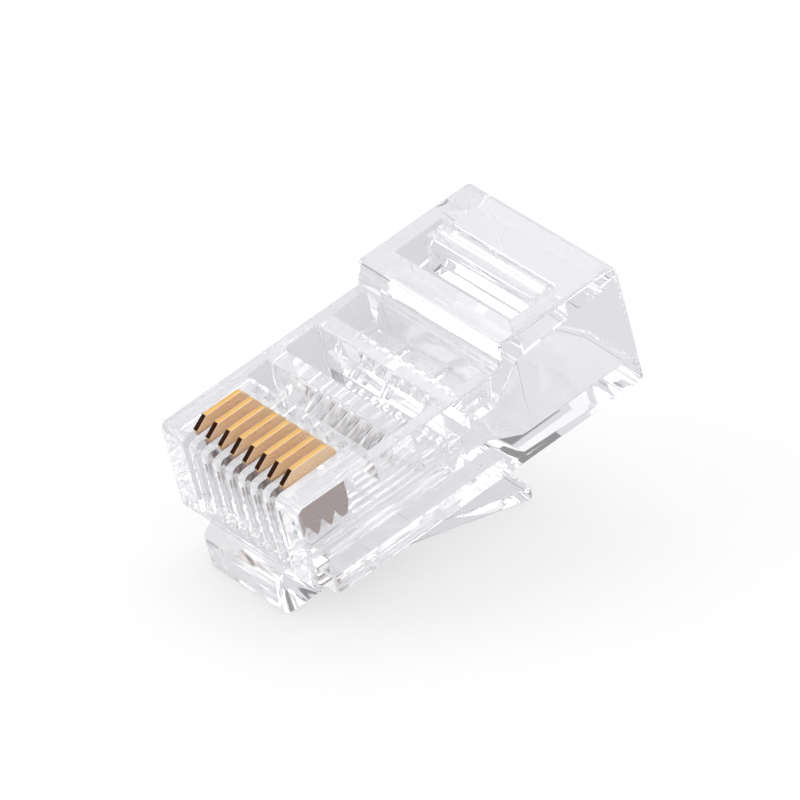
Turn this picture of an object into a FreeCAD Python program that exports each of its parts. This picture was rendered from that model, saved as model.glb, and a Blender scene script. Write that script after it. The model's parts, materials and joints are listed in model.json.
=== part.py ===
import FreeCAD, Part
import math
import os

# An uncrimped, unshielded eight-position modular plug: one clear moulding, eight contact
# blades standing proud before crimping, a latch and a strain-relief bar on living hinges.
# Each piece is drawn in the plug's own axes, in millimetres: x across, y back from the
# nose face, z up from the underside of the side rails to the contact side. The finished
# pieces are then tipped nose down onto the foot and the latch, as the plug comes to rest.

# Contact row
POSITIONS = 8
PITCH = 1.016
BLADE_THICKNESS = 0.35
BLADE_SIDE_GAP = 0.05
BLADE_END_GAP = 0.05
CRIMPED_HEIGHT = 6.02
CRIMP_TRAVEL = 1.25
BLADE_FRONT = 0.82
BLADE_TOP_START = 1.60
BLADE_TOP_LENGTH = 2.38
BLADE_LENGTH = 3.58
BLADE_SHOULDER_LENGTH = 0.50
BLADE_SHOULDER_HEIGHT = 0.70
BLADE_BEVEL_HEIGHT = 0.55
BLADE_BODY_DEPTH = 3.12
BLADE_TOP_RADIUS = 0.12
BLADE_CORNER_RADIUS = 0.08
TOE_LENGTH = 0.36
TOE_RAKE = 0.12
TOE_NOSE_HEIGHT = 0.45
TOE_HEIGHT = 0.60
TOE_RADIUS = 0.05
TINES = 3
TINE_LENGTH = 0.80
TINE_TIP_WIDTH = 0.12
REAR_TINE_TIP_WIDTH = 0.36
TINE_TIP_RADIUS = 0.04

# Outer moulding
WIDTH = 11.68
NOSE_TAPER = 0.12
NOSE_TOP = 6.55
NOSE_UNDER = 1.20
NOSE_TOP_RADIUS = 0.55
CHEEK_RADIUS = 0.35
STEP_Y = 13.94
STEP_RISE = 1.45
STEP_LEAN = 0.42
LENGTH = 22.55
REAR_LEAN = 0.28
REAR_TOP_RADIUS = 0.55
EDGE_RADIUS = 0.22
RAIL_FRONT = 1.14
RAIL_NOSE_RADIUS = 0.15

# Nose grooves, slots and wire channels
GROOVE_DEPTH = 0.38
GROOVE_FLOOR_WALL = 0.20
COMB_RELIEF_HEIGHT = 0.35
FRONT_WALL = 0.39
SLOT_FRONT_SILL = 1.05
CHANNEL_RADIUS = 0.47
CHANNEL_Z = 2.70
TINE_RELIEF = 0.10
TEST_HOLE_SIZE = 0.50
TEST_HOLE_Y = 5.03
TEST_HOLE_DEPTH = 0.90

# Pockets in the contact side of the front section
POCKET_HALF_WIDTH = 4.98
POCKET_DRAFT = 0.20
POCKET_RADIUS = 0.20
CROSS_BAR = 1.05
POCKET_1_Y = 5.45
POCKET_1_LENGTH = 1.57
POCKET_1_DEPTH = 2.20
POCKET_2_LENGTH = 2.33
POCKET_2_CUT = 0.12
POCKET_3_LENGTH = 2.25
POCKET_3_DEPTH = 2.00
FLOOR_RIB_WIDTH = 0.30
FLOOR_RIB_HEIGHT = 0.45
FLOOR_RIB_INNER = 1.55
FLOOR_RIB_OUTER = 4.25

# Cable cavity
COMB_END = 11.20
COMB_HALF_WIDTH = 4.15
COMB_ROOF = 3.40
COMB_FLOOR = 2.10
CAVITY_FLOOR = 1.20
CAVITY_FLOOR_Y = 14.70
CAVITY_ROOF = 5.90
CAVITY_ROOF_Y = 15.30
CAVITY_MOUTH_ROOF = 6.50
CAVITY_HALF_WIDTH = 4.85
CAVITY_RADIUS = 0.45
THROAT_Y = 13.60
THROAT_FLOOR_Y = 12.60
THROAT_ROOF = 3.95
MOUTH_FLARE = 0.35
MOUTH_FLARE_LENGTH = 1.00

# Strain-relief window and bar
WINDOW_Y = 15.90
WINDOW_LENGTH = 3.37
WINDOW_HALF_WIDTH = 4.65
WINDOW_DRAFT = 0.12
BAR_SIDE_GAP = 0.25
BAR_TOP_LENGTH = 0.42
BAR_BOTTOM_LENGTH = 1.12
BAR_LEAN = 0.68
BAR_DEPTH = 1.95
BAR_END_CHAMFER = 0.80
BAR_EDGE_RADIUS = 0.12
BAR_END_RADIUS = 0.15
WEB_THICKNESS = 0.45
WEB_LENGTH = 0.60
WEB_NOTCH_WIDTH = 0.30
WEB_NOTCH_DEPTH = 0.24
HINGE_GAP = 0.03

# Latch and the foot that carries it
REST_PITCH = 14.7
FOOT_WIDTH = 6.28
FOOT_OUT = 0.73
FOOT_DROP = 1.49
FOOT_SHELF = 0.75
FOOT_BACK = 1.95
FOOT_RADIUS = 0.35
RECESS_HALF_WIDTH = 3.45
RECESS_END = 13.70
RECESS_RADIUS = 1.10
KNUCKLE_RADIUS = 0.42
KNUCKLE_GAP = 0.03
LATCH_WIDTH = 6.22
LATCH_ROOT_THICKNESS = 0.75
LATCH_ROOT_LENGTH = 3.20
LATCH_ROOT_FALL = 0.35
LATCH_ROOT_BLEND = 1.50
LATCH_TOUCH_Y = 8.00
HEEL_RADIUS = 0.60
SHOULDER_Y = 8.70
CATCH_HEIGHT = 1.85
WING_THICKNESS = 0.62
SHOULDER_RADIUS = 0.10
LEVER_ROOT_WIDTH = 3.70
WING_CORNER_RADIUS = 0.30
LEVER_TIP_WIDTH = 4.80
LEVER_TIP_RADIUS = 0.40
LEVER_TIP_LEAN = 0.10
LEVER_THICKNESS = 0.75
LEVER_EDGE_RADIUS = 0.22
LATCH_TIP_Y = 16.20

# Worked out from the sizes above
HALF_WIDTH = WIDTH / 2
REAR_TOP = NOSE_TOP + STEP_RISE
BLADE_TOP = CRIMPED_HEIGHT + CRIMP_TRAVEL
BLADE_BACK = BLADE_FRONT + BLADE_LENGTH
SLOT_WIDTH = BLADE_THICKNESS + 2 * BLADE_SIDE_GAP
SLOT_FRONT = BLADE_FRONT - BLADE_END_GAP
SLOT_BACK = BLADE_BACK + BLADE_END_GAP
SLOT_FLOOR = BLADE_TOP - BLADE_BODY_DEPTH - TINE_LENGTH - CRIMP_TRAVEL - TINE_RELIEF
POCKET_2_Y = POCKET_1_Y + POCKET_1_LENGTH + CROSS_BAR
POCKET_3_Y = POCKET_2_Y + POCKET_2_LENGTH + CROSS_BAR
POCKET_2_DEPTH = NOSE_TOP - CHANNEL_Z - CHANNEL_RADIUS + POCKET_2_CUT
WINDOW_BACK = WINDOW_Y + WINDOW_LENGTH
BAR_HALF_WIDTH = WINDOW_HALF_WIDTH - WINDOW_DRAFT - BAR_SIDE_GAP
BAR_HINGE_Y = WINDOW_BACK - WINDOW_DRAFT - HINGE_GAP - WEB_THICKNESS / 2
BAR_HINGE_Z = REAR_TOP - WEB_THICKNESS / 2
FOOT_BOTTOM = -FOOT_DROP
KNUCKLE_Y = FOOT_BACK
KNUCKLE_Z = FOOT_BOTTOM + KNUCKLE_RADIUS
BEYOND = 2.0


def vector(*xyz):
    return FreeCAD.Vector(*xyz)


def rounded_wire(corners, place):
    """Closed outline through corners (a, b, radius), each rounded by a tangent arc."""
    points = [vector(a, b, 0) for a, b, _ in corners]
    stretches = []
    for index, (_, _, radius) in enumerate(corners):
        corner = points[index]
        back = (points[index - 1] - corner).normalize()
        ahead = (points[(index + 1) % len(points)] - corner).normalize()
        if radius == 0:
            stretches.append([corner])
            continue
        half_angle = back.getAngle(ahead) / 2
        setback = radius / math.tan(half_angle)
        middle = (back + ahead).normalize()
        reach = radius / math.sin(half_angle) - radius
        stretches.append([corner + back * setback, corner + middle * reach, corner + ahead * setback])
    edges = []
    for index, stretch in enumerate(stretches):
        if len(stretch) == 3:
            edges.append(Part.Arc(*[place(p.x, p.y) for p in stretch]).toShape())
        start = place(stretch[-1].x, stretch[-1].y)
        following = stretches[(index + 1) % len(stretches)][0]
        end = place(following.x, following.y)
        if start.distanceToPoint(end) > 1e-6:
            edges.append(Part.LineSegment(start, end).toShape())
    return Part.Wire(edges)


def side_prism(corners, left, right):
    """Side outline (y, z, radius) carried across the plug from left to right."""
    wire = rounded_wire(corners, lambda y, z: vector(left, y, z))
    return Part.Face(wire).extrude(vector(right - left, 0, 0))


def plan_prism(corners, bottom, top):
    """Plan outline (x, y, radius) carried up from bottom to top."""
    wire = rounded_wire(corners, lambda x, y: vector(x, y, bottom))
    return Part.Face(wire).extrude(vector(0, 0, top - bottom))


def cross_prism(corners, front, back):
    """Cross-section (x, z, radius) carried along the plug from front to back."""
    wire = rounded_wire(corners, lambda x, z: vector(x, front, z))
    return Part.Face(wire).extrude(vector(0, back - front, 0))


def upright_loft(lower, upper):
    """Solid between two plan outlines, each given as (corners, height)."""
    wires = []
    for corners, height in (lower, upper):
        wires.append(rounded_wire(corners, lambda x, y, z=height: vector(x, y, z)))
    return Part.makeLoft(wires, True, True)


def rectangle(half_width, front, back, radius):
    """Corners of an outline that is even about the plug's centre plane."""
    return [
        (-half_width, front, radius),
        (half_width, front, radius),
        (half_width, back, radius),
        (-half_width, back, radius),
    ]


def drafted_pocket(half_width, front, back, floor, rim, draft, radius):
    """Pocket cutter whose walls lean outwards from the floor to the rim and beyond."""
    lean = draft / (rim - floor)
    above = lean * BEYOND
    low = rectangle(half_width - draft, front + draft, back - draft, radius)
    high = rectangle(half_width + above, front - above, back + above, radius)
    return upright_loft((low, floor), (high, rim + BEYOND))


def position_x(index):
    return (index - (POSITIONS - 1) / 2) * PITCH


def outer_front():
    """Front section: rounded nose, sides that widen slightly towards the step."""
    back = STEP_Y + BEYOND
    side = side_prism(
        [
            (0, NOSE_UNDER, 0),
            (0, NOSE_TOP, NOSE_TOP_RADIUS),
            (back, NOSE_TOP, 0),
            (back, NOSE_UNDER, 0),
        ],
        -HALF_WIDTH,
        HALF_WIDTH,
    )
    nose_half = HALF_WIDTH - NOSE_TAPER
    plan = plan_prism(
        [
            (-nose_half, 0, CHEEK_RADIUS),
            (nose_half, 0, CHEEK_RADIUS),
            (HALF_WIDTH, STEP_Y, 0),
            (HALF_WIDTH, back, 0),
            (-HALF_WIDTH, back, 0),
            (-HALF_WIDTH, STEP_Y, 0),
        ],
        NOSE_UNDER,
        NOSE_TOP,
    )
    cross = cross_prism(
        [
            (-HALF_WIDTH, NOSE_UNDER, 0),
            (HALF_WIDTH, NOSE_UNDER, 0),
            (HALF_WIDTH, NOSE_TOP, EDGE_RADIUS),
            (-HALF_WIDTH, NOSE_TOP, EDGE_RADIUS),
        ],
        0,
        back,
    )
    return side.common(plan).common(cross)


def outer_rails():
    """Lower body, set back from the nose, whose sides become the two rails."""
    side = side_prism(
        [
            (RAIL_FRONT, 0, RAIL_NOSE_RADIUS),
            (RAIL_FRONT, NOSE_UNDER + EDGE_RADIUS, 0),
            (STEP_Y + BEYOND, NOSE_UNDER + EDGE_RADIUS, 0),
            (STEP_Y + BEYOND, 0, 0),
        ],
        -HALF_WIDTH,
        HALF_WIDTH,
    )
    front_half = HALF_WIDTH - NOSE_TAPER * (1 - RAIL_FRONT / STEP_Y)
    plan = plan_prism(
        [
            (-front_half, RAIL_FRONT, RAIL_NOSE_RADIUS),
            (front_half, RAIL_FRONT, RAIL_NOSE_RADIUS),
            (HALF_WIDTH, STEP_Y, 0),
            (HALF_WIDTH, STEP_Y + BEYOND, 0),
            (-HALF_WIDTH, STEP_Y + BEYOND, 0),
            (-HALF_WIDTH, STEP_Y, 0),
        ],
        0,
        NOSE_UNDER + EDGE_RADIUS,
    )
    return side.common(plan)


def outer_rear():
    """Raised rear section with its leaning riser and rounded rear edges."""
    side = side_prism(
        [
            (STEP_Y, 0, 0),
            (STEP_Y, NOSE_TOP, 0),
            (STEP_Y + STEP_LEAN, REAR_TOP, EDGE_RADIUS),
            (LENGTH - REAR_LEAN, REAR_TOP, REAR_TOP_RADIUS),
            (LENGTH, 0, EDGE_RADIUS),
        ],
        -HALF_WIDTH,
        HALF_WIDTH,
    )
    plan = plan_prism(
        [
            (-HALF_WIDTH, STEP_Y, 0),
            (HALF_WIDTH, STEP_Y, 0),
            (HALF_WIDTH, LENGTH, CHEEK_RADIUS),
            (-HALF_WIDTH, LENGTH, CHEEK_RADIUS),
        ],
        0,
        REAR_TOP,
    )
    cross = cross_prism(
        [
            (-HALF_WIDTH, 0, 0),
            (HALF_WIDTH, 0, 0),
            (HALF_WIDTH, REAR_TOP, EDGE_RADIUS),
            (-HALF_WIDTH, REAR_TOP, EDGE_RADIUS),
        ],
        STEP_Y,
        LENGTH,
    )
    return side.common(plan).common(cross)


def foot():
    """Latch root under the nose, standing a little ahead of the nose face."""
    half = FOOT_WIDTH / 2
    top = NOSE_UNDER + EDGE_RADIUS
    side = side_prism(
        [
            (-FOOT_OUT, FOOT_BOTTOM, FOOT_RADIUS),
            (-FOOT_OUT, FOOT_SHELF, 0),
            (GROOVE_DEPTH, top, 0),
            (FOOT_BACK, top, 0),
            (FOOT_BACK, FOOT_BOTTOM, 0),
        ],
        -half,
        half,
    )
    plan = plan_prism(
        [
            (-half, -FOOT_OUT, FOOT_RADIUS),
            (half, -FOOT_OUT, FOOT_RADIUS),
            (half, FOOT_BACK, 0),
            (-half, FOOT_BACK, 0),
        ],
        FOOT_BOTTOM,
        top,
    )
    socket = Part.makeCylinder(
        KNUCKLE_RADIUS + KNUCKLE_GAP,
        FOOT_WIDTH + BEYOND,
        vector(-half - BEYOND / 2, KNUCKLE_Y, KNUCKLE_Z),
        vector(1, 0, 0),
    )
    return side.common(plan).cut(socket)


def latch_recess():
    """Space under the front section that the latch bends into, rounded at its rear end."""
    return side_prism(
        [
            (RAIL_FRONT - BEYOND, -BEYOND, 0),
            (RAIL_FRONT - BEYOND, NOSE_UNDER, 0),
            (RECESS_END, NOSE_UNDER, RECESS_RADIUS),
            (RECESS_END, -BEYOND, 0),
        ],
        -RECESS_HALF_WIDTH,
        RECESS_HALF_WIDTH,
    )


def contact_slot(index):
    """Slot that guides one blade, with its groove down the nose and its wire channel."""
    above = NOSE_TOP + BEYOND
    sill = NOSE_TOP - SLOT_FRONT_SILL
    shelf = BLADE_TOP - BLADE_BEVEL_HEIGHT - BLADE_SHOULDER_HEIGHT - CRIMP_TRAVEL - BLADE_END_GAP
    body_back = SLOT_BACK - BLADE_SHOULDER_LENGTH
    left = position_x(index) - SLOT_WIDTH / 2
    slot = side_prism(
        [
            (-BEYOND, above, 0),
            (-BEYOND, NOSE_UNDER + GROOVE_FLOOR_WALL, 0),
            (GROOVE_DEPTH, NOSE_UNDER + GROOVE_FLOOR_WALL, 0),
            (SLOT_FRONT - FRONT_WALL, sill, 0),
            (SLOT_FRONT, sill, 0),
            (SLOT_FRONT, SLOT_FLOOR, 0),
            (body_back, SLOT_FLOOR, 0),
            (body_back, shelf, 0),
            (SLOT_BACK, shelf, 0),
            (SLOT_BACK, above, 0),
        ],
        left,
        left + SLOT_WIDTH,
    )
    channel = Part.makeCylinder(
        CHANNEL_RADIUS,
        COMB_END + BEYOND - SLOT_FRONT,
        vector(position_x(index), SLOT_FRONT, CHANNEL_Z),
        vector(0, 1, 0),
    )
    test_hole = Part.makeBox(
        TEST_HOLE_SIZE,
        TEST_HOLE_SIZE,
        TEST_HOLE_DEPTH + BEYOND,
        vector(
            position_x(index) - TEST_HOLE_SIZE / 2,
            TEST_HOLE_Y - TEST_HOLE_SIZE / 2,
            NOSE_TOP - TEST_HOLE_DEPTH,
        ),
    )
    return slot.fuse(channel).fuse(test_hole)


def comb_relief():
    """Shallow cut across the nose under the ribs that stand between the grooves."""
    reach = position_x(POSITIONS - 1) + SLOT_WIDTH / 2
    return Part.makeBox(
        2 * reach,
        GROOVE_DEPTH + BEYOND,
        COMB_RELIEF_HEIGHT,
        vector(-reach, -BEYOND, NOSE_UNDER + GROOVE_FLOOR_WALL),
    )


def front_pockets():
    """The three pockets across the contact side, with the bars left standing between."""
    rows = [
        (POCKET_1_Y, POCKET_1_LENGTH, POCKET_1_DEPTH),
        (POCKET_2_Y, POCKET_2_LENGTH, POCKET_2_DEPTH),
        (POCKET_3_Y, POCKET_3_LENGTH, POCKET_3_DEPTH),
    ]
    cutters = []
    for front, length, depth in rows:
        cutters.append(
            drafted_pocket(
                POCKET_HALF_WIDTH,
                front,
                front + length,
                NOSE_TOP - depth,
                NOSE_TOP,
                POCKET_DRAFT,
                POCKET_RADIUS,
            )
        )
    return cutters


def floor_ribs():
    """Short stiffening ribs on the floor of the third pocket."""
    floor = NOSE_TOP - POCKET_3_DEPTH
    ribs = []
    for x in (-FLOOR_RIB_OUTER, -FLOOR_RIB_INNER, FLOOR_RIB_INNER, FLOOR_RIB_OUTER):
        ribs.append(
            Part.makeBox(
                FLOOR_RIB_WIDTH,
                POCKET_3_LENGTH,
                FLOOR_RIB_HEIGHT + POCKET_DRAFT,
                vector(x - FLOOR_RIB_WIDTH / 2, POCKET_3_Y, floor - POCKET_DRAFT),
            )
        )
    return ribs


def cable_cavity():
    """Cable entry that narrows forwards to the mouths of the wire channels."""
    back = LENGTH + BEYOND
    side = side_prism(
        [
            (COMB_END, COMB_FLOOR, 0),
            (THROAT_FLOOR_Y, COMB_FLOOR, CAVITY_RADIUS),
            (CAVITY_FLOOR_Y, CAVITY_FLOOR, CAVITY_RADIUS),
            (back, CAVITY_FLOOR, 0),
            (back, CAVITY_MOUTH_ROOF, 0),
            (LENGTH, CAVITY_MOUTH_ROOF, 0),
            (CAVITY_ROOF_Y, CAVITY_ROOF, CAVITY_RADIUS),
            (THROAT_Y, THROAT_ROOF, CAVITY_RADIUS),
            (COMB_END, COMB_ROOF, 0),
        ],
        -CAVITY_HALF_WIDTH,
        CAVITY_HALF_WIDTH,
    )
    plan = plan_prism(
        [
            (-COMB_HALF_WIDTH, COMB_END, 0),
            (COMB_HALF_WIDTH, COMB_END, 0),
            (CAVITY_HALF_WIDTH, CAVITY_ROOF_Y, CAVITY_RADIUS),
            (CAVITY_HALF_WIDTH, back, 0),
            (-CAVITY_HALF_WIDTH, back, 0),
            (-CAVITY_HALF_WIDTH, CAVITY_ROOF_Y, CAVITY_RADIUS),
        ],
        CAVITY_FLOOR,
        CAVITY_MOUTH_ROOF,
    )
    return side.common(plan).fuse(mouth_flare())


def mouth_flare():
    """Lead-in round the cable entry, widening towards the rear face."""
    wires = []
    for y, flare in ((LENGTH - MOUTH_FLARE_LENGTH, 0), (LENGTH + BEYOND, MOUTH_FLARE)):
        spread = flare * (1 + BEYOND / MOUTH_FLARE_LENGTH)
        half = CAVITY_HALF_WIDTH + spread
        low = CAVITY_FLOOR - spread
        high = CAVITY_MOUTH_ROOF + spread
        corners = [
            (-half, low, CAVITY_RADIUS),
            (half, low, CAVITY_RADIUS),
            (half, high, CAVITY_RADIUS),
            (-half, high, CAVITY_RADIUS),
        ]
        wires.append(rounded_wire(corners, lambda x, z, y=y: vector(x, y, z)))
    return Part.makeLoft(wires, True, True)


def strain_relief_window():
    """Opening above the cable cavity that the strain-relief bar swings through."""
    floor = CAVITY_ROOF - EDGE_RADIUS
    return drafted_pocket(
        WINDOW_HALF_WIDTH,
        WINDOW_Y,
        WINDOW_BACK,
        floor,
        REAR_TOP,
        WINDOW_DRAFT,
        POCKET_RADIUS,
    )


def housing():
    body = outer_rear().fuse([outer_front(), outer_rails()])
    body = body.cut(latch_recess()).fuse(foot())
    body = body.cut([cable_cavity(), strain_relief_window()])
    body = body.cut(front_pockets()).fuse(floor_ribs())
    body = body.cut([contact_slot(index) for index in range(POSITIONS)] + [comb_relief()])
    return body.removeSplitter()


def contact(index):
    """One gold-plated blade: bevelled top, rear shoulder and piercing tines below."""
    bottom = BLADE_TOP - BLADE_BODY_DEPTH
    tip = bottom - TINE_LENGTH
    bevel = BLADE_TOP - BLADE_BEVEL_HEIGHT
    top_end = BLADE_TOP_START + BLADE_TOP_LENGTH
    body_front = BLADE_FRONT + TOE_LENGTH
    body_back = BLADE_BACK - BLADE_SHOULDER_LENGTH
    tine_pitch = (body_back - body_front) / TINES
    corners = [
        (BLADE_TOP_START, BLADE_TOP, BLADE_TOP_RADIUS),
        (BLADE_FRONT, bevel, BLADE_CORNER_RADIUS),
        (BLADE_FRONT + TOE_RAKE, bevel - TOE_NOSE_HEIGHT, TOE_RADIUS),
        (body_front, bevel - TOE_HEIGHT, TOE_RADIUS),
        (body_front, bottom, 0),
    ]
    for tine in range(TINES):
        start = body_front + tine * tine_pitch
        centre = start + tine_pitch / 2
        width = TINE_TIP_WIDTH if tine < TINES - 1 else REAR_TINE_TIP_WIDTH
        corners.append((centre - width / 2, tip, TINE_TIP_RADIUS))
        corners.append((centre + width / 2, tip, TINE_TIP_RADIUS))
        corners.append((start + tine_pitch, bottom, 0))
    corners += [
        (body_back, bevel - BLADE_SHOULDER_HEIGHT, TOE_RADIUS),
        (BLADE_BACK, bevel - BLADE_SHOULDER_HEIGHT, TOE_RADIUS),
        (BLADE_BACK, bevel, BLADE_CORNER_RADIUS),
        (top_end, BLADE_TOP, BLADE_TOP_RADIUS),
    ]
    left = position_x(index) - BLADE_THICKNESS / 2
    return side_prism(corners, left, left + BLADE_THICKNESS)


def strain_relief():
    """Bar that swings down onto the cable jacket about the thin web at its rear."""
    web_under = REAR_TOP - WEB_THICKNESS
    bar_back = BAR_HINGE_Y - WEB_LENGTH
    top_front = bar_back - BAR_TOP_LENGTH
    bottom_front = top_front - BAR_LEAN
    bottom = REAR_TOP - BAR_DEPTH
    side = side_prism(
        [
            (bottom_front, bottom, BAR_EDGE_RADIUS),
            (bottom_front + BAR_BOTTOM_LENGTH, bottom, BAR_EDGE_RADIUS),
            (bar_back, web_under, BAR_EDGE_RADIUS),
            (BAR_HINGE_Y, web_under, 0),
            (BAR_HINGE_Y, REAR_TOP, 0),
            (bar_back + WEB_NOTCH_WIDTH, REAR_TOP, 0),
            (bar_back + WEB_NOTCH_WIDTH / 2, REAR_TOP - WEB_NOTCH_DEPTH, 0),
            (bar_back, REAR_TOP, 0),
            (top_front, REAR_TOP, BAR_EDGE_RADIUS),
        ],
        -BAR_HALF_WIDTH,
        BAR_HALF_WIDTH,
    )
    front_view = cross_prism(
        [
            (-BAR_HALF_WIDTH + BAR_END_CHAMFER, bottom, BAR_END_RADIUS),
            (BAR_HALF_WIDTH - BAR_END_CHAMFER, bottom, BAR_END_RADIUS),
            (BAR_HALF_WIDTH, bottom + BAR_END_CHAMFER, BAR_END_RADIUS),
            (BAR_HALF_WIDTH, REAR_TOP, 0),
            (-BAR_HALF_WIDTH, REAR_TOP, 0),
            (-BAR_HALF_WIDTH, bottom + BAR_END_CHAMFER, BAR_END_RADIUS),
        ],
        bottom_front,
        BAR_HINGE_Y,
    )
    knuckle = Part.makeCylinder(
        WEB_THICKNESS / 2,
        2 * BAR_HALF_WIDTH,
        vector(-BAR_HALF_WIDTH, BAR_HINGE_Y, BAR_HINGE_Z),
        vector(1, 0, 0),
    )
    return side.common(front_view).fuse(knuckle).removeSplitter()


def resting_height(y):
    """Height in the plug's axes of the surface it rests on, below the point y."""
    slope = math.radians(REST_PITCH)
    centre_y = -FOOT_OUT + FOOT_RADIUS
    centre_z = FOOT_BOTTOM + FOOT_RADIUS
    touch_y = centre_y - FOOT_RADIUS * math.sin(slope)
    touch_z = centre_z - FOOT_RADIUS * math.cos(slope)
    return touch_z - (y - touch_y) * math.tan(slope)


def latch_arm():
    """Middle of the latch: thin root, deep catch, then the lever that a finger presses."""
    touch_z = resting_height(LATCH_TOUCH_Y)
    tip_z = resting_height(LATCH_TIP_Y)
    catch_z = resting_height(SHOULDER_Y)
    tip_top_y = LATCH_TIP_Y + LEVER_TIP_LEAN
    root_z = FOOT_BOTTOM - LATCH_ROOT_FALL
    side = side_prism(
        [
            (KNUCKLE_Y, FOOT_BOTTOM, 0),
            (LATCH_TOUCH_Y, touch_z, HEEL_RADIUS),
            (LATCH_TIP_Y, tip_z, LEVER_EDGE_RADIUS),
            (tip_top_y, tip_z + LEVER_THICKNESS, LEVER_EDGE_RADIUS),
            (SHOULDER_Y, catch_z + LEVER_THICKNESS, 0),
            (SHOULDER_Y, catch_z + CATCH_HEIGHT, SHOULDER_RADIUS),
            (KNUCKLE_Y + LATCH_ROOT_LENGTH, root_z + LATCH_ROOT_THICKNESS, LATCH_ROOT_BLEND),
            (KNUCKLE_Y, FOOT_BOTTOM + 2 * KNUCKLE_RADIUS, 0),
        ],
        -LATCH_WIDTH / 2,
        LATCH_WIDTH / 2,
    )
    root_half = LEVER_ROOT_WIDTH / 2
    tip_half = LEVER_TIP_WIDTH / 2
    plan = plan_prism(
        [
            (-root_half, KNUCKLE_Y, 0),
            (root_half, KNUCKLE_Y, 0),
            (root_half, SHOULDER_Y, 0),
            (tip_half, tip_top_y, LEVER_TIP_RADIUS),
            (-tip_half, tip_top_y, LEVER_TIP_RADIUS),
            (-root_half, SHOULDER_Y, 0),
        ],
        tip_z,
        FOOT_BOTTOM + 2 * CATCH_HEIGHT,
    )
    return side.common(plan)


def latch_wings():
    """Plate as wide as the foot, whose rear edges are the shoulders that catch the jack."""
    half = LATCH_WIDTH / 2
    catch_top = resting_height(SHOULDER_Y) + CATCH_HEIGHT
    root_z = FOOT_BOTTOM - LATCH_ROOT_FALL
    side = side_prism(
        [
            (KNUCKLE_Y, FOOT_BOTTOM, 0),
            (SHOULDER_Y, catch_top - WING_THICKNESS, SHOULDER_RADIUS),
            (SHOULDER_Y, catch_top, SHOULDER_RADIUS),
            (KNUCKLE_Y + LATCH_ROOT_LENGTH, root_z + LATCH_ROOT_THICKNESS, LATCH_ROOT_BLEND),
            (KNUCKLE_Y, FOOT_BOTTOM + 2 * KNUCKLE_RADIUS, 0),
        ],
        -half,
        half,
    )
    plan = plan_prism(
        [
            (-half, KNUCKLE_Y, 0),
            (half, KNUCKLE_Y, 0),
            (half, SHOULDER_Y, WING_CORNER_RADIUS),
            (-half, SHOULDER_Y, WING_CORNER_RADIUS),
        ],
        resting_height(SHOULDER_Y),
        FOOT_BOTTOM + 2 * CATCH_HEIGHT,
    )
    return side.common(plan)


def latch():
    """Latch on its living hinge: the arm and lever, with the catch wings on its top."""
    knuckle = Part.makeCylinder(
        KNUCKLE_RADIUS,
        LATCH_WIDTH,
        vector(-LATCH_WIDTH / 2, KNUCKLE_Y, KNUCKLE_Z),
        vector(1, 0, 0),
    )
    return latch_arm().fuse([latch_wings(), knuckle]).removeSplitter()


def tipped_to_rest(shapes):
    """Tip the plug onto its foot and latch, origin in the middle of its footprint."""
    for shape in shapes.values():
        shape.rotate(vector(0, 0, 0), vector(1, 0, 0), REST_PITCH)
    box = FreeCAD.BoundBox()
    for shape in shapes.values():
        box.add(shape.optimalBoundingBox(False))
    shift = vector(0, -box.Center.y, -box.ZMin)
    for shape in shapes.values():
        shape.translate(shift)
    return shift


shapes = {"housing": housing(), "latch": latch(), "strain_relief": strain_relief()}
for number in range(POSITIONS):
    shapes[f"contact_{number + 1}"] = contact(number)
shift = tipped_to_rest(shapes)

os.makedirs("parts", exist_ok=True)
for name, shape in shapes.items():
    shape.exportStep(f"parts/{name}.step")
    print(name, "solids", len(shape.Solids), "valid", shape.isValid(), "volume", round(shape.Volume, 2))
print("shift", tuple(round(value, 4) for value in shift))
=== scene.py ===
import json
import math

import bmesh
import bpy
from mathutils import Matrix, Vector


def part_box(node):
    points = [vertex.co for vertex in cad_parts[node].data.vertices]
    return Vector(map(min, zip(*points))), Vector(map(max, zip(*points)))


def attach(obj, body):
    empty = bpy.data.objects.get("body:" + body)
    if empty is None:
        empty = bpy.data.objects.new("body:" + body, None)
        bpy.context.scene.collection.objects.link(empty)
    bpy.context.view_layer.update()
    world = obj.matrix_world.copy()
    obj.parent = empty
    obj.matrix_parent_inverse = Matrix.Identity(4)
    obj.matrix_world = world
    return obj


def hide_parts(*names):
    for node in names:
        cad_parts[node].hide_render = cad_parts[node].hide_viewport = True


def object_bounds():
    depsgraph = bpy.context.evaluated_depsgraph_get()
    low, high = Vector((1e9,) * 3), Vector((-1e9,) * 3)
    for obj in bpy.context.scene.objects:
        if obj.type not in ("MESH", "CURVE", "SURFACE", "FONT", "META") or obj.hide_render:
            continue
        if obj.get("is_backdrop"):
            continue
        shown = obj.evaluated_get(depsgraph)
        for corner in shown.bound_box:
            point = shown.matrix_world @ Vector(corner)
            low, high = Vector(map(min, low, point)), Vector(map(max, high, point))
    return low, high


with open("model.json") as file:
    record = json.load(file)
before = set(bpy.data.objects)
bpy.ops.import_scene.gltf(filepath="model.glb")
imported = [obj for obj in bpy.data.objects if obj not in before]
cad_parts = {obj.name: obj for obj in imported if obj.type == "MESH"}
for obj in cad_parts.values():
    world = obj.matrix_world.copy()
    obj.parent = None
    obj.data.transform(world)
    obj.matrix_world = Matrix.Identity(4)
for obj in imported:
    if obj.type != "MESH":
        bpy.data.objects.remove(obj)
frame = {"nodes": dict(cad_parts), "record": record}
cad_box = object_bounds()

MM = 0.001

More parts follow.
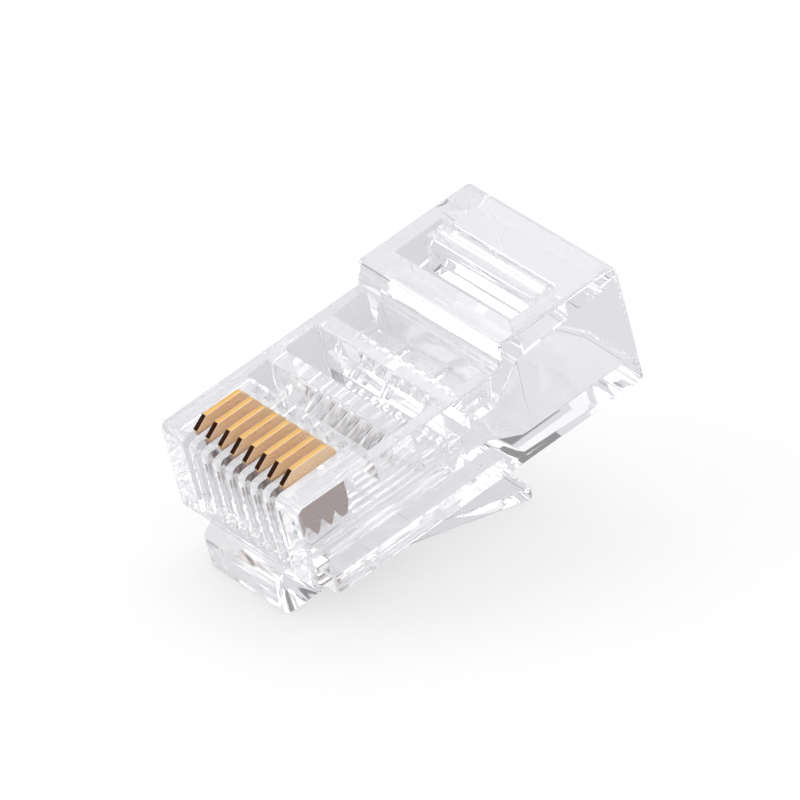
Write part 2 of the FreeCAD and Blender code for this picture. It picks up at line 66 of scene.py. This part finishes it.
# Camera: a long lens, so the sides stay nearly parallel
AZIMUTH = math.radians(50.68)
ELEVATION = math.radians(30.56)
LENS = 392
CAMERA_DISTANCE = 0.4545
AIM = Vector((0.126, -0.312, 7.758)) * MM
NEAR_CLIP = 0.01

# Eased edges
EDGE_ROUND = 0.08 * MM
BLADE_EDGE_ROUND = 0.035 * MM
ROUND_SEGMENTS = 2
SHARP_ANGLE = math.radians(28)
FLAT_ANGLE = math.radians(0.5)
WELD_DISTANCE = 0.0005 * MM
SHORTEST_EDGE = 1e-6 * MM
ROOM_SHARE = 0.35  # part of the room beside an edge that its rounding may take
SHARE_MIN = 0.6  # an edge with room for less than this much of its rounding stays sharp
THIN_FACE = 0.6 * MM  # a face of many sides and narrower than this has no room
RUNS_ON = -0.6  # cosine to the next edge, below which it carries on the same line
AREA_WEIGHT = 100  # large faces keep their own normals next to the eased edges

# Clear moulding
PLASTIC_IOR = 1.42
PLASTIC_CLEARNESS = 0.85  # outer surfaces, a little milky
INNER_CLEARNESS = 0.995
PLASTIC_TINT = (0.998, 0.997, 1.0, 1)
HAZE_ROUGHNESS = 0.35, 0.75, 0.02, 0.06  # range of the haze, range of the roughness
HAZE = 900, 4  # features to the metre, detail
WAVES = 260, 2, (1, 0.45, 1)  # the same, and their stretch along the flow
WAVE_BUMP = 0.04, 0.06 * MM  # strength, height

# Blades: darker and lighter colour of each surface's streaks
GOLD = (0.62, 0.33, 0.09, 1), (0.86, 0.56, 0.22, 1)
COPPER = (1.0, 0.64, 0.37, 1), (1.0, 0.80, 0.56, 1)
# painted highlight: a cream-white colour on the rounded edges between a blade's top and sides,
# in place of the glint of light on them
PAINTED_EDGE_HIGHLIGHT = (1.0, 0.86, 0.66, 1), (1.0, 0.93, 0.80, 1)
# a darker colour for each blade below its crown
DARKER_BELOW_CROWN = (0.40, 0.28, 0.25, 1), (0.58, 0.43, 0.39, 1)
# painted reflection: the front bevel is coloured near-black, in place of the dark surroundings
# it mirrors
PAINTED_DARK_REFLECTION = (0.010, 0.003, 0.002, 1), (0.05, 0.016, 0.006, 1)
DARKENING_DEPTH = 1.35 * MM, 1.6 * MM  # the darker colour fades in between these depths below the top
BLADE_METALLIC = 0.4
STREAKS = 2600, 4, (1, 0.18, 1)  # features to the metre, detail, stretch along the blade
STREAK_ROUGHNESS = 0.3, 0.7, 0.22, 0.42  # range of the streaks, range of the roughness
STREAK_BUMP = 0.12, 0.01 * MM  # strength, height

# Parts of the normal between which each surface of a blade fades in
SIDE_SIDEWAYS = 0.80, 0.97
# where the painted edge highlight fades in
HIGHLIGHT_EDGE_SIDEWAYS = 0.25, 0.4
HIGHLIGHT_EDGE_UPWARD = 0.15, 0.3
# where the painted dark reflection on the front bevel fades in
BEVEL_ALONG = -0.5, -0.7
BEVEL_UPWARD = 0.0, 0.15

# Light: the level of the white room and floor for each kind of ray
WHITE = (1, 1, 1, 1)
ROOM_TINT = (0.985, 0.985, 1, 1)
ROOM_LEVEL = 0.88
ROOM_IN_GLOSS = 0.7
ROOM_THROUGH_PLASTIC = 1.0
CAMERA_SIDE_THROUGH_PLASTIC = 0.6
CAMERA_SIDE = 0.80, 0.95  # cosines to the camera's direction, where it fades in
LOW_BAND_THROUGH_PLASTIC = 0.15  # dark gap low in the room, opposite the camera
LOW_BAND_HEIGHT = 0.20, 0.10  # sines of the height at which it fades in
FAR_SIDE = 0.0, -0.3
FLOOR_HALF = 0.6
FLOOR_ROUGHNESS = 0.6
FLOOR_COLOUR = (0.93, 0.93, 0.935, 1)
FLOOR_GLOW = (
    # kind of ray, colour, share of the glow in what it sees; a later row covers an earlier one
    ("Is Camera Ray", WHITE, 0.6),
    ("Is Glossy Ray", (0.7, 0.7, 0.72, 1), 0.8),
    ("Is Transmission Ray", (0.70, 0.70, 0.74, 1), 0.8),
)
SOFTBOXES = (
    # name, place and size in metres, power in watts
    ("key", (-0.20, 0.12, 0.48), 0.50, 0.7),
    ("fill", (-0.30, -0.40, 0.25), 0.40, 0.8),
)

# A clear part with many walls needs long light paths
BOUNCES = {
    "max_bounces": 40,
    "transmission_bounces": 36,
    "glossy_bounces": 36,
    "diffuse_bounces": 24,
}


class Tree:
    """The nodes of a material or world, with short ways to add the kinds used here."""

    def __init__(self, owner):
        owner.use_nodes = True
        self.nodes = owner.node_tree.nodes
        self.links = owner.node_tree.links

    def feed(self, node, inputs):
        """Give each named input a value of its own, or another node's output."""
        for name, value in inputs.items():
            if isinstance(value, bpy.types.NodeSocket):
                self.links.new(value, node.inputs[name])
            else:
                node.inputs[name].default_value = value

    def add(self, kind, inputs=None, **settings):
        node = self.nodes.new("ShaderNode" + kind)
        for name, value in settings.items():
            setattr(node, name, value)
        self.feed(node, inputs or {})
        return node

    def place(self, kind="Object"):
        return self.add("TexCoord").outputs[kind]

    def split(self, vector):
        return self.add("SeparateXYZ", {"Vector": vector}).outputs

    def remap(self, value, low, high, new_low, new_high):
        spans = {"From Min": low, "From Max": high, "To Min": new_low, "To Max": new_high}
        return self.add("MapRange", {"Value": value, **spans}).outputs["Result"]

    def fade(self, value, start, full):
        """0 where the value is at start or short of it, 1 where it is at full or past it."""
        return self.remap(value, start, full, 0, 1)

    def times(self, first, second):
        return self.add("Math", {0: first, 1: second}, operation="MULTIPLY").outputs["Value"]

    def size(self, value):
        return self.add("Math", {0: value}, operation="ABSOLUTE").outputs["Value"]

    def noise(self, place, per_metre, detail, stretch=(1, 1, 1)):
        spread = self.add("Mapping", {"Vector": place, "Scale": stretch}).outputs["Vector"]
        inputs = {"Vector": spread, "Scale": per_metre, "Detail": detail}
        return self.add("TexNoise", inputs).outputs["Fac"]

    def bump(self, height, strength, distance):
        inputs = {"Height": height, "Strength": strength, "Distance": distance}
        return self.add("Bump", inputs).outputs["Normal"]

    def two_tones(self, value, tones):
        ramp = self.add("ValToRGB", {"Fac": value})
        for element, colour in zip(ramp.color_ramp.elements, tones):
            element.color = colour
        return ramp.outputs["Color"]

    def blend_colours(self, share, first, second):
        inputs = {"Factor": share, "A": first, "B": second}
        return self.add("Mix", inputs, data_type="RGBA").outputs["Result"]

    def blend_levels(self, share, first, second):
        inputs = {"Factor": share, "A": first, "B": second}
        return self.add("Mix", inputs).outputs["Result"]


def new_material(name):
    material = bpy.data.materials.new(name)
    tree = Tree(material)
    return material, tree, tree.nodes["Principled BSDF"]


def clear_plastic():
    """Clear moulding: a little milky, with faint haze and the waviness that flow leaves."""
    material, tree, shader = new_material("clear_polycarbonate")
    place = tree.place()
    inside = tree.add("NewGeometry").outputs["Backfacing"]
    haze = tree.noise(place, *HAZE)
    waves = tree.noise(place, *WAVES)
    finish = {
        "Base Color": PLASTIC_TINT,
        "IOR": PLASTIC_IOR,
        "Transmission Weight": tree.remap(inside, 0, 1, PLASTIC_CLEARNESS, INNER_CLEARNESS),
        "Roughness": tree.remap(haze, *HAZE_ROUGHNESS),
        "Normal": tree.bump(waves, *WAVE_BUMP),
    }
    tree.feed(shader, finish)
    return material


def gold_contact():
    """Gold flash on a punched blade, in the colours of its five kinds of surface.

    The top is gold with painted highlight lines along its edges, the sides are coppery, the
    sheared front bevel is painted near-black as a dark reflection, and the metal below the
    crown is darker.
    """
    material, tree, shader = new_material("gold_plated_blade")
    place = tree.place()
    facing = tree.split(tree.add("NewGeometry").outputs["Normal"])
    sideways, along, upward = tree.size(facing["X"]), facing["Y"], facing["Z"]
    is_side = tree.fade(sideways, *SIDE_SIDEWAYS)
    # painted highlight on the rounded edges between top and sides
    painted_highlight_edge = tree.times(tree.fade(sideways, *HIGHLIGHT_EDGE_SIDEWAYS), tree.fade(upward, *HIGHLIGHT_EDGE_UPWARD))
    # painted dark reflection on the front bevel
    painted_dark_bevel = tree.times(tree.fade(along, *BEVEL_ALONG), tree.fade(upward, *BEVEL_UPWARD))
    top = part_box("contact_1")[1][2]
    # the blade's colour turns darker below the crown
    is_below_crown = tree.fade(tree.split(place)["Z"], *(top - depth for depth in DARKENING_DEPTH))
    streaks = tree.noise(place, *STREAKS)
    colour = tree.two_tones(streaks, GOLD)
    for share, tones in (
        (painted_highlight_edge, PAINTED_EDGE_HIGHLIGHT),
        (is_side, COPPER),
        (is_below_crown, DARKER_BELOW_CROWN),
        (painted_dark_bevel, PAINTED_DARK_REFLECTION),
    ):
        colour = tree.blend_colours(share, colour, tree.two_tones(streaks, tones))
    finish = {
        "Base Color": colour,
        "Metallic": BLADE_METALLIC,
        "Specular IOR Level": 0.0,
        "Roughness": tree.remap(streaks, *STREAK_ROUGHNESS),
        "Normal": tree.bump(streaks, *STREAK_BUMP),
    }
    tree.feed(shader, finish)
    return material


def is_sharp(edge):
    return len(edge.link_faces) == 2 and edge.calc_face_angle() > SHARP_ANGLE


def room_beside(edge, face):
    """Mean width of the face beside the edge, or nothing on a thin face of many sides."""
    if len(face.verts) > 4:
        width = 2 * face.calc_area() / face.calc_perimeter()
        return width if width > THIN_FACE else 0
    return face.calc_area() / max(edge.calc_length(), SHORTEST_EDGE)


def room_at_end(edge, corner):
    """What each other edge at the corner leaves, apart from a sharp one that runs on."""
    along = (edge.other_vert(corner).co - corner.co).normalized()
    for other in corner.link_edges:
        if other is edge:
            continue
        away = (other.other_vert(corner).co - corner.co).normalized()
        if not (is_sharp(other) and along.dot(away) < RUNS_ON):
            yield other.calc_length() * along.cross(away).length ** 2


def least_room(edge):
    room = [room_beside(edge, face) for face in edge.link_faces]
    for corner in edge.verts:
        room.extend(room_at_end(edge, corner))
    return min(room)


def share_out_rounding(shape, width, least):
    """Weight each sharp edge with the share of its rounding that it has room for.

    An edge whose share is under the least one stays sharp. A least of 0 rounds every edge.
    """
    weights = shape.edges.layers.float.new("bevel_weight_edge")
    for edge in shape.edges:
        edge.smooth = True
        if is_sharp(edge):
            share = ROOM_SHARE * least_room(edge) / width if least else 1.0
            edge[weights] = min(1.0, share) if share > least else 0.0
            edge.smooth = edge[weights] > 0


def material_slot(node):
    for row in frame["record"]["subparts"]:
        if row["node"] == node:
            return row["material_slot"]
    raise KeyError(node)


def rounded_copy(node, material, width, least):
    """The node's own shape with its sharp edges eased, as a moulding's or a punching's are."""
    mesh = frame["nodes"][node].data.copy()
    shape = bmesh.new()
    shape.from_mesh(mesh)
    bmesh.ops.remove_doubles(shape, verts=shape.verts, dist=WELD_DISTANCE)
    bmesh.ops.dissolve_limit(
        shape, angle_limit=FLAT_ANGLE, verts=shape.verts, edges=shape.edges
    )
    for face in shape.faces:
        face.smooth = True
    share_out_rounding(shape, width, least)
    shape.to_mesh(mesh)
    shape.free()
    mesh.materials.clear()
    mesh.materials.append(material)
    piece = bpy.data.objects.new(node + "_finished", mesh)
    bpy.context.scene.collection.objects.link(piece)
    eased = piece.modifiers.new("eased_edges", "BEVEL")
    eased.width = width
    eased.segments = ROUND_SEGMENTS
    eased.limit_method = "WEIGHT"
    eased.harden_normals = False
    eased.use_clamp_overlap = not least
    level = piece.modifiers.new("flat_faces", "WEIGHTED_NORMAL")
    level.weight = AREA_WEIGHT
    level.keep_sharp = least > 0
    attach(piece, node)
    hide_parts(node)
    material_slot(node)


def floor():
    """White table: it glows a little to the camera, so its shadow stays faint, as in a tent."""
    bpy.ops.mesh.primitive_plane_add(size=2 * FLOOR_HALF)
    plane = bpy.context.object
    plane.name = "floor"
    material, tree, shader = new_material("pale_floor")
    finish = {
        "Base Color": FLOOR_COLOUR,
        "Roughness": FLOOR_ROUGHNESS,
        "Specular IOR Level": 0.0,
    }
    tree.feed(shader, finish)
    path = tree.add("LightPath").outputs
    surface = shader.outputs["BSDF"]
    for ray, colour, share in FLOOR_GLOW:
        glow = tree.add("Emission", {"Color": colour}).outputs["Emission"]
        seen = {"Fac": tree.remap(path[ray], 0, 1, 0, share), 1: surface, 2: glow}
        surface = tree.add("MixShader", seen).outputs["Shader"]
    tree.feed(tree.nodes["Material Output"], {"Surface": surface})
    plane.data.materials.append(material)
    plane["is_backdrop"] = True


def camera_direction():
    return Vector(
        (
            math.sin(AZIMUTH) * math.cos(ELEVATION),
            -math.cos(AZIMUTH) * math.cos(ELEVATION),
            math.sin(ELEVATION),
        )
    )


def room():
    """White studio, dimmer in gloss, with its two darker parts seen through the plastic."""
    world = bpy.data.worlds.new("studio")
    tree = Tree(world)
    bpy.context.scene.world = world
    place = tree.place("Generated")
    aligned = {0: place, 1: camera_direction()}
    towards_camera = tree.add("VectorMath", aligned, operation="DOT_PRODUCT").outputs["Value"]
    through = tree.remap(
        towards_camera, *CAMERA_SIDE, ROOM_THROUGH_PLASTIC, CAMERA_SIDE_THROUGH_PLASTIC
    )
    low = tree.fade(tree.split(place)["Z"], *LOW_BAND_HEIGHT)
    gap = tree.times(low, tree.fade(towards_camera, *FAR_SIDE))
    through = tree.times(through, tree.remap(gap, 0, 1, 1, LOW_BAND_THROUGH_PLASTIC))
    path = tree.add("LightPath").outputs
    level = tree.remap(path["Is Glossy Ray"], 0, 1, ROOM_LEVEL, ROOM_IN_GLOSS)
    level = tree.blend_levels(path["Is Transmission Ray"], level, through)
    level = tree.blend_levels(path["Is Camera Ray"], level, 1.0)
    tree.feed(tree.nodes["Background"], {"Strength": level, "Color": ROOM_TINT})


def add_to_scene(name, data, place, back):
    """An object at the place, facing away from the direction `back`."""
    thing = bpy.data.objects.new(name, data)
    thing.location = place
    thing.rotation_mode = "QUATERNION"
    thing.rotation_quaternion = (-Vector(back)).to_track_quat("-Z", "Y")
    bpy.context.scene.collection.objects.link(thing)
    return thing


def softbox(name, place, size, power):
    light = bpy.data.lights.new(name, "AREA")
    light.size = size
    light.energy = power
    add_to_scene(name, light, place, place)


def camera():
    data = bpy.data.cameras.new("camera")
    data.lens = LENS
    data.clip_start = NEAR_CLIP
    back = camera_direction()
    place = AIM + back * CAMERA_DISTANCE
    bpy.context.scene.camera = add_to_scene("camera", data, place, back)


def studio():
    floor()
    room()
    for box in SOFTBOXES:
        softbox(*box)
    camera()
    scene = bpy.context.scene
    scene.view_settings.view_transform = "Standard"
    for name, count in BOUNCES.items():
        setattr(scene.cycles, name, count)


plastic = clear_plastic()
gold = gold_contact()
for node in ("housing", "latch", "strain_relief"):
    rounded_copy(node, plastic, EDGE_ROUND, SHARE_MIN)
for node in sorted(frame["nodes"]):
    if node.startswith("contact_"):
        rounded_copy(node, gold, BLADE_EDGE_ROUND, 0)
studio()

boxes = {"cad": cad_box, "visual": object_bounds()}
{name: [list(corner) for corner in box] for name, box in boxes.items()}
